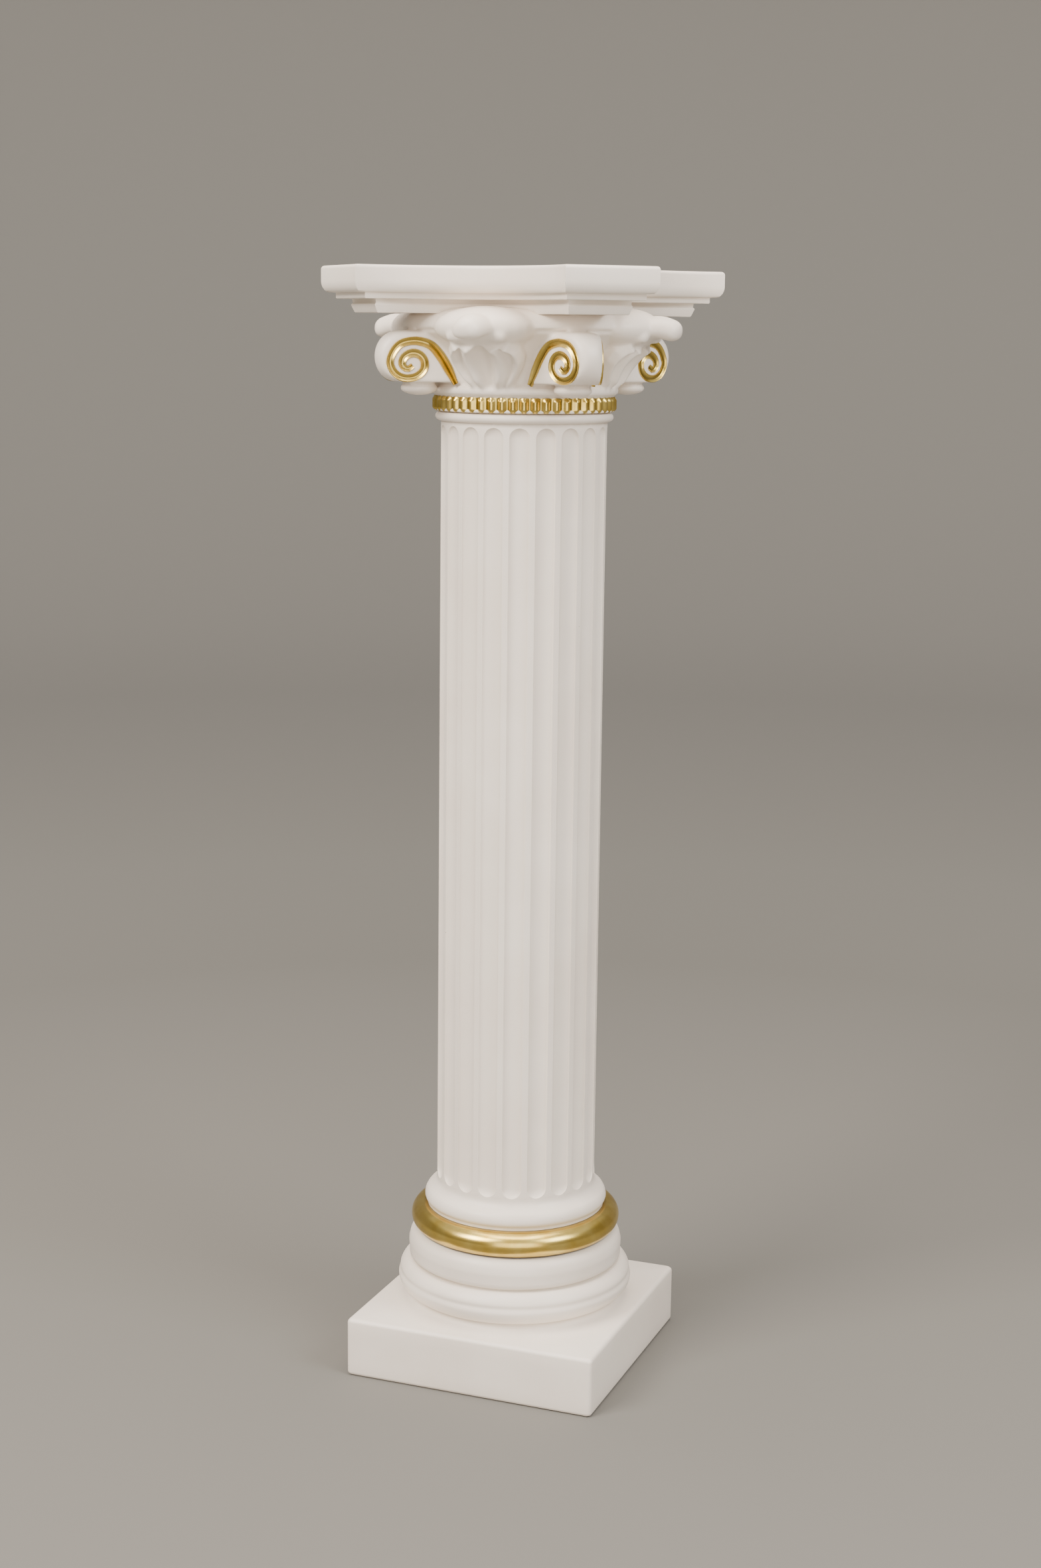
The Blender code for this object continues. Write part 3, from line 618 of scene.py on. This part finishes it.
def add_core(bm):
    """The turned body of the capital: neck ring, bell, lip, groove and cushion."""
    bell_foot = BAND_HEIGHT + NECK_RING_HEIGHT
    lip = bell_foot + BELL_HEIGHT
    cushion_foot = lip + LIP_HEIGHT
    ring_half = NECK_RING_HEIGHT / 2
    rows = [(0, 0)] + [(BAND_RADIUS - inset, z) for inset, z in BAND_PROFILE]
    rows += arc(NECK_RING_RADIUS - ring_half, BAND_HEIGHT + ring_half, ring_half, ring_half, -90, 90, 12)
    heights = [bell_foot + BELL_HEIGHT * k / 24 for k in range(24)]
    rows += [(bell_radius(z), z) for z in heights]
    rows += [(BELL_LIP_RADIUS, lip), (BELL_LIP_RADIUS - LIP_GROOVE, cushion_foot)]
    cushion_swell = CUSHION_RADIUS - CUSHION_TOP_RADIUS
    rows += arc(CUSHION_TOP_RADIUS, cushion_foot, cushion_swell, CUSHION_HEIGHT, 0, 84, 16)
    rows += [(0, rows[-1][1])]
    count = 120

    def place(i, j):
        r, z = rows[j]
        a = 2 * pi * (i % count) / count
        return Vector((r * cos(a), r * sin(a), z))

    bent_grid(bm, count, len(rows) - 1, place)


def scroll_half_width(r):
    """Half the volute's width at a distance from the axis: its sides spread toward the bell."""
    outer = VOLUTE_REACH - VOLUTE_RADIUS - FACE_INWARD + FACE_RADIUS
    return VOLUTE_RIM / 2 + (outer - r) * tan(VOLUTE_SPLAY)


def add_volutes(bm):
    """Four corner volutes, each a fat round-edged scroll that runs back into the bell."""
    middle = VOLUTE_REACH - VOLUTE_RADIUS
    sections = []
    for k in range(17):
        side = k / 8 - 1
        share = 1 - sqrt(max(1 - abs(side) ** VOLUTE_SQUARENESS, 0))
        radius = VOLUTE_RADIUS + (FACE_RADIUS - VOLUTE_RADIUS) * share
        centre_r = middle - FACE_INWARD * share
        centre_z = VOLUTE_CENTRE - FACE_DROP * share
        outline = arc(centre_r, centre_z, radius, radius, -90, 90, 28)
        outline += [(VOLUTE_ROOT, centre_z + radius), (VOLUTE_ROOT, centre_z - radius)]
        sections.append([Vector((r, side * scroll_half_width(r), z)) for r, z in outline])
    for corner in range(4):
        add_skin(bm, sections, quarter_turn(corner + 0.5))


def stroke_path(side, steps):
    """The gilded stroke's line on one side of a volute at +X, with the way out of that side."""
    out = Vector((sin(VOLUTE_SPLAY), side * cos(VOLUTE_SPLAY), 0))
    middle = VOLUTE_REACH - VOLUTE_RADIUS
    scroll_edge = middle - STALK_END * VOLUTE_RADIUS
    stalk_run = scroll_edge - BELL_FOOT_RADIUS
    line = [(BELL_FOOT_RADIUS + stalk_run * share, VOLUTE_CENTRE + up * VOLUTE_RADIUS, 0)
            for share, up in STALK]
    line += [(middle - inward * VOLUTE_RADIUS, VOLUTE_CENTRE + up * VOLUTE_RADIUS, 0)
             for inward, up in SCROLL]
    return [Vector((p.x, side * scroll_half_width(p.x), p.y)) for p in even_path(line, steps)], out


def add_strokes(bm, section, steps):
    """Sweeps a closed section, as (across, out) pairs, along the stroke on all eight sides."""
    for side in (-1, 1):
        points, out = stroke_path(side, steps)
        loops = []
        for k, p in enumerate(points):
            along = (points[min(k + 1, steps)] - points[max(k - 1, 0)]).normalized()
            across = along.cross(out).normalized()
            v = k / steps
            size = between(STROKE_WIDTHS, v)
            deep = between(STROKE_DEPTHS, v)
            loops.append([p + across * a * size + out * (o * deep if o < 0 else o) for a, o in section])
        for corner in range(4):
            add_skin(bm, loops, quarter_turn(corner + 0.5))


def ridge_height(u):
    """How far the leaf's surface stands off its own middle sheet, across the leaf."""
    for (low, a), (high, b) in zip(LEAF_RIDGES, LEAF_RIDGES[1:]):
        if u <= high:
            return a + (b - a) * ease(low, high, u)
    return LEAF_RIDGES[-1][1]


def blade_loops():
    """Cross-sections of a leaf's ridged blade, from its foot up the bell to the curl."""
    rows = 40
    line = even_path([(r, z, 0) for r, z in BLADE_LINE], rows)
    loops = []
    for k, p in enumerate(line):
        v = k / rows
        along = (line[min(k + 1, rows)] - line[max(k - 1, 0)]).normalized()
        behind = Vector((-along.y, along.x, 0))
        half = between(BLADE_WIDTHS, v) / 2
        relief = ease(-0.1, 0.25, v)
        loop = []
        for step in range(49):
            u = step / 24 - 1
            y = u * half
            face = p - behind * ridge_height(u) * relief
            loop.append(Vector((face.x - p.x * (1 - cos(y / p.x)), y, face.y)))
        for u in (0.9, 0.45, 0, -0.45, -0.9):
            y = u * half
            rear = p + behind * BLADE_DEPTH
            loop.append(Vector((rear.x - p.x * (1 - cos(y / p.x)), y, rear.y)))
        loops.append(loop)
    return loops


def lobe_loops(line, shift, spread):
    """Cross-sections of one thick drooping lobe of a leaf's tip, with a rounded end."""
    path = smooth_path([row[:3] for row in line], TIP_LOOPS // (len(line) - 1))
    rows = len(path) - 1
    deeps = [row[3] for row in line]
    stations = [(p, p.z, between(deeps, k / rows)) for k, p in enumerate(path)]
    along = (path[-1] - path[-2]).xy.normalized().to_3d()
    end, wide, deep = stations[-1]
    # The rounding stops just short of a quarter turn, so that the last loop still has a size
    for step in range(1, 9):
        a = pi / 2 * step / 8.4
        left = cos(a) ** TIP_BLUNTNESS
        stations.append((end + along * deep * sin(a), wide * left, deep * left))
    loops = []
    for k, (p, half, deep) in enumerate(stations):
        if k <= rows:
            along = (path[min(k + 1, rows)] - path[max(k - 1, 0)]).xy.normalized().to_3d()
        behind = Vector((-along.y, along.x, 0))
        loop = []
        for step in range(32):
            a = 2 * pi * step / 32
            y = half * cos(a)
            droop = TIP_DROOP * half * cos(a) ** 2 * ease(0.2, 0.8, k / rows)
            q = p - behind * (droop + deep * sin(a))
            loop.append(Vector((q.x, y + shift + spread * (q.x - line[0][0]), q.y)))
        loops.append(loop)
    return loops


def add_ball(bm, centre, semi_axes, turn):
    """A ball of clay pressed to three half sizes, turned about the column's axis."""
    ball = bmesh.ops.create_uvsphere(bm, u_segments=28, v_segments=16, radius=1.0)["verts"]
    bmesh.ops.scale(bm, vec=semi_axes, verts=ball)
    bmesh.ops.translate(bm, vec=centre, verts=ball)
    bmesh.ops.rotate(bm, cent=(0, 0, 0), matrix=turn, verts=ball)


def add_leaves(bm):
    """Four leaves: a ridged blade on the bell, a drooping tip between two lesser ones, and a soft mound."""
    blade = blade_loops()
    tips = [lobe_loops(TIP, 0.0, 0.0)]
    tips += [lobe_loops(SIDE_TIP, side * SIDE_TIP_OUT, side * SIDE_TIP_SPREAD) for side in (-1, 1)]
    for face in range(4):
        turn = quarter_turn(face)
        for loops in [blade] + tips:
            add_skin(bm, loops, turn)
        add_ball(bm, MOUND_MIDDLE, MOUND, turn)


def add_lobes(bm):
    """A small blunt leaf tip under each volute."""
    for corner in range(4):
        add_ball(bm, LOBE_MIDDLE, LOBE_SIZE, quarter_turn(corner + 0.5))


def plain_object(name, bm):
    """A helper object that is melted into a piece and then removed."""
    bmesh.ops.recalc_face_normals(bm, faces=bm.faces)
    mesh = bpy.data.meshes.new(name)
    bm.to_mesh(mesh)
    bm.free()
    obj = bpy.data.objects.new(name, mesh)
    bpy.context.scene.collection.objects.link(obj)
    return obj


def remesh(obj, name):
    """Melts an object's overlapping forms into one skin."""
    melt = obj.modifiers.new(name, "REMESH")
    melt.mode = "VOXEL"
    melt.voxel_size = VOXEL


def soften(obj, rounds):
    """Rounds off edges as a worn rubber mould does."""
    soft = obj.modifiers.new("soft edges", "SMOOTH")
    soft.factor = 0.5
    soft.iterations = rounds


def boolean(obj, other, how):
    """Joins another closed object to this one, or cuts it out."""
    made = obj.modifiers.new(how.lower(), "BOOLEAN")
    made.operation = how
    made.solver = "EXACT"
    made.object = other


def build_capital(marble):
    """Bell, volutes, leaves and lobes melted together as in one mould, then joined to the crisp abacus."""
    bm = bmesh.new()
    add_core(bm)
    add_volutes(bm)
    add_leaves(bm)
    add_lobes(bm)
    body = plain_object("capital_body", bm)
    half = STROKE_WIDTH / 2
    angles = [2 * pi * k / 12 for k in range(12)]
    bm = bmesh.new()
    add_strokes(bm, [(half * cos(a), 0.001 + (STROKE_DEPTH + 0.001) * min(sin(a), 0.3)) for a in angles], 60)
    cutter = plain_object("stroke_cutter", bm)
    bm = bmesh.new()
    add_abacus(bm)
    bmesh.ops.translate(bm, vec=(0, 0, -CAPITAL_FOOT), verts=bm.verts)
    abacus = plain_object("abacus", bm)
    remesh(body, "melt")
    soften(body, BODY_ROUNDS)
    boolean(body, cutter, "DIFFERENCE")
    remesh(body, "melt again")
    soften(body, GROOVE_ROUNDS)
    thin = body.modifiers.new("thin", "DECIMATE")
    thin.ratio = KEPT_SHARE
    boolean(body, abacus, "UNION")
    baked = bpy.data.meshes.new_from_object(body.evaluated_get(bpy.context.evaluated_depsgraph_get()))
    for helper in (body, cutter, abacus):
        bpy.data.objects.remove(helper)
    bm = bmesh.new()
    bm.from_mesh(baked)
    bmesh.ops.translate(bm, vec=(0, 0, CAPITAL_FOOT), verts=bm.verts)
    return piece("capital_casting", bm, marble, 60)


def build_strokes(gold):
    """The gilded strokes: raised rims over the groove's edges and a hollow between them."""
    half = STROKE_WIDTH / 2
    # (across, out of the volute's side): one rim, the hollow, the other rim, then the back in the casting
    section = [(-half - 0.0002, 0.0002), (-half + 0.0003, 0.0008), (-half + 0.0009, 0.0006),
               (-half * 0.45, -0.0003), (0, -0.0007), (half * 0.45, -0.0003),
               (half - 0.0009, 0.0006), (half - 0.0003, 0.0008), (half + 0.0002, 0.0002),
               (half, -0.0012), (0, -0.0026), (-half, -0.0012)]
    bm = bmesh.new()
    add_strokes(bm, section, 72)
    bmesh.ops.translate(bm, vec=(0, 0, CAPITAL_FOOT), verts=bm.verts)
    piece("gilded_strokes", bm, gold)


def build_tongues(gold):
    """Small upright tongues with rounded lower ends, standing on the white foot of the capital."""
    per = 12
    count = TONGUE_COUNT * per
    steps = 18
    inner = BAND_RADIUS - TONGUE_DEPTH - 0.003
    foot = TONGUE_FOOT
    head = BAND_HEIGHT - TONGUE_HEAD_GAP
    rows = [(inner, 0.0020)] + [(None, foot + (head - foot) * k / steps) for k in range(steps + 1)]
    rows += [(inner, head)]

    def place(i, j):
        r, z = rows[j % len(rows)]
        a = 2 * pi * (i % count) / count
        if r is None:
            crown = (0.5 + 0.5 * cos(2 * pi * i / per)) ** TONGUE_ROUNDNESS
            rounded = ease(foot - 0.0008, 0.0026, z) * (0.5 + 0.5 * ease(0.0, 0.003, head - z))
            r = BAND_RADIUS - TONGUE_DEPTH * (1 - crown * rounded)
        return Vector((r * cos(a), r * sin(a), CAPITAL_FOOT + z))

    bm = bmesh.new()
    bent_grid(bm, count, len(rows), place)
    piece("gilded_tongues", bm, gold)


def build_stage():
    """A pale grey studio sweep all round, floor and wall in one, with four large soft lights."""
    bm = bmesh.new()
    profile = [(0, 0), (SWEEP_FLOOR - 1.5, 0), (SWEEP_FLOOR, 0)]
    profile += arc(SWEEP_FLOOR, SWEEP_BEND, SWEEP_BEND, SWEEP_BEND, -80, 0, 12)
    profile += [(SWEEP_FLOOR + SWEEP_BEND, SWEEP_HEIGHT)]
    verts = [bm.verts.new((r, 0, z)) for r, z in profile]
    edges = [bm.edges.new(pair) for pair in zip(verts, verts[1:])]
    bmesh.ops.spin(bm, geom=verts + edges, cent=(0, 0, 0), axis=(0, 0, 1), angle=2 * pi, steps=96,
                   use_merge=True)
    bmesh.ops.remove_doubles(bm, verts=bm.verts, dist=0.0001)
    bmesh.ops.recalc_face_normals(bm, faces=bm.faces)
    bmesh.ops.reverse_faces(bm, faces=bm.faces)
    mesh = bpy.data.meshes.new("sweep")
    bm.to_mesh(mesh)
    bm.free()
    mesh.shade_smooth()
    sweep = bpy.data.objects.new("sweep", mesh)
    bpy.context.scene.collection.objects.link(sweep)
    paper = bpy.data.materials.new("studio paper")
    paper.use_nodes = True
    tree = paper.node_tree
    shader = tree.nodes["Principled BSDF"]
    where = node(tree, "ShaderNodeTexCoord").outputs["Object"]
    # Painted light: the paper's colour grows lighter with distance from the column, making up for the lamps
    # falling off on the wall
    away = node(tree, "ShaderNodeVectorMath", {0: where}, operation="LENGTH")
    share = node(tree, "ShaderNodeMath", {0: away.outputs["Value"]}, operation="DIVIDE")
    share.inputs[1].default_value = SWEEP_FADE
    tint = node(tree, "ShaderNodeValToRGB", {"Fac": share.outputs[0]})
    stops = tint.color_ramp.elements
    stops.remove(stops[1])
    stops[0].position = SWEEP_TONES[0][0]
    stops[0].color = srgb(SWEEP_TONES[0][1])
    for spot, tone in SWEEP_TONES[1:]:
        stops.new(spot).color = srgb(tone)
    tree.links.new(tint.outputs["Color"], shader.inputs["Base Color"])
    shader.inputs["Roughness"].default_value = 0.9
    mesh.materials.append(paper)

    world = bpy.data.worlds.new("studio")
    bpy.context.scene.world = world
    world.use_nodes = True
    sky = world.node_tree.nodes["Background"]
    sky.inputs["Color"].default_value = srgb("#F2EEE9")
    sky.inputs["Strength"].default_value = 0.8
    for name, place, size, power, tone in SOFTBOXES:
        light = bpy.data.lights.new(name, "AREA")
        light.size = size
        light.energy = power
        light.color = srgb(tone)[:3]
        lamp = bpy.data.objects.new(name, light)
        lamp.visible_camera = False
        bpy.context.scene.collection.objects.link(lamp)
        spot = Matrix.Rotation(CAMERA_TURN, 3, "Z") @ Vector(place)
        aim = (SOFTBOX_AIM - spot).to_track_quat("-Z", "Y").to_matrix().to_4x4()
        lamp.matrix_world = Matrix.Translation(spot) @ aim


def build_camera():
    """The photograph's camera."""
    lens = bpy.data.cameras.new("camera")
    lens.sensor_fit = "VERTICAL"
    lens.sensor_height = SENSOR_HEIGHT
    lens.lens = CAMERA_LENS
    lens.clip_start = 0.01
    camera = bpy.data.objects.new("camera", lens)
    bpy.context.scene.collection.objects.link(camera)
    aim = Matrix.Rotation(CAMERA_TURN, 4, "Z") @ Matrix.Rotation(pi / 2 - CAMERA_DOWN, 4, "X")
    camera.matrix_world = Matrix.Translation(CAMERA_PLACE) @ aim @ Matrix.Rotation(CAMERA_ROLL, 4, "Z")
    bpy.context.scene.camera = camera


marble = cast_marble()
gold = gilding()
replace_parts(build_base(marble), "base")
build_gilt_torus(gold)
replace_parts(build_shaft(marble), "shaft")
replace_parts(build_capital(marble), "capital")
build_strokes(gold)
build_tongues(gold)
build_stage()
build_camera()
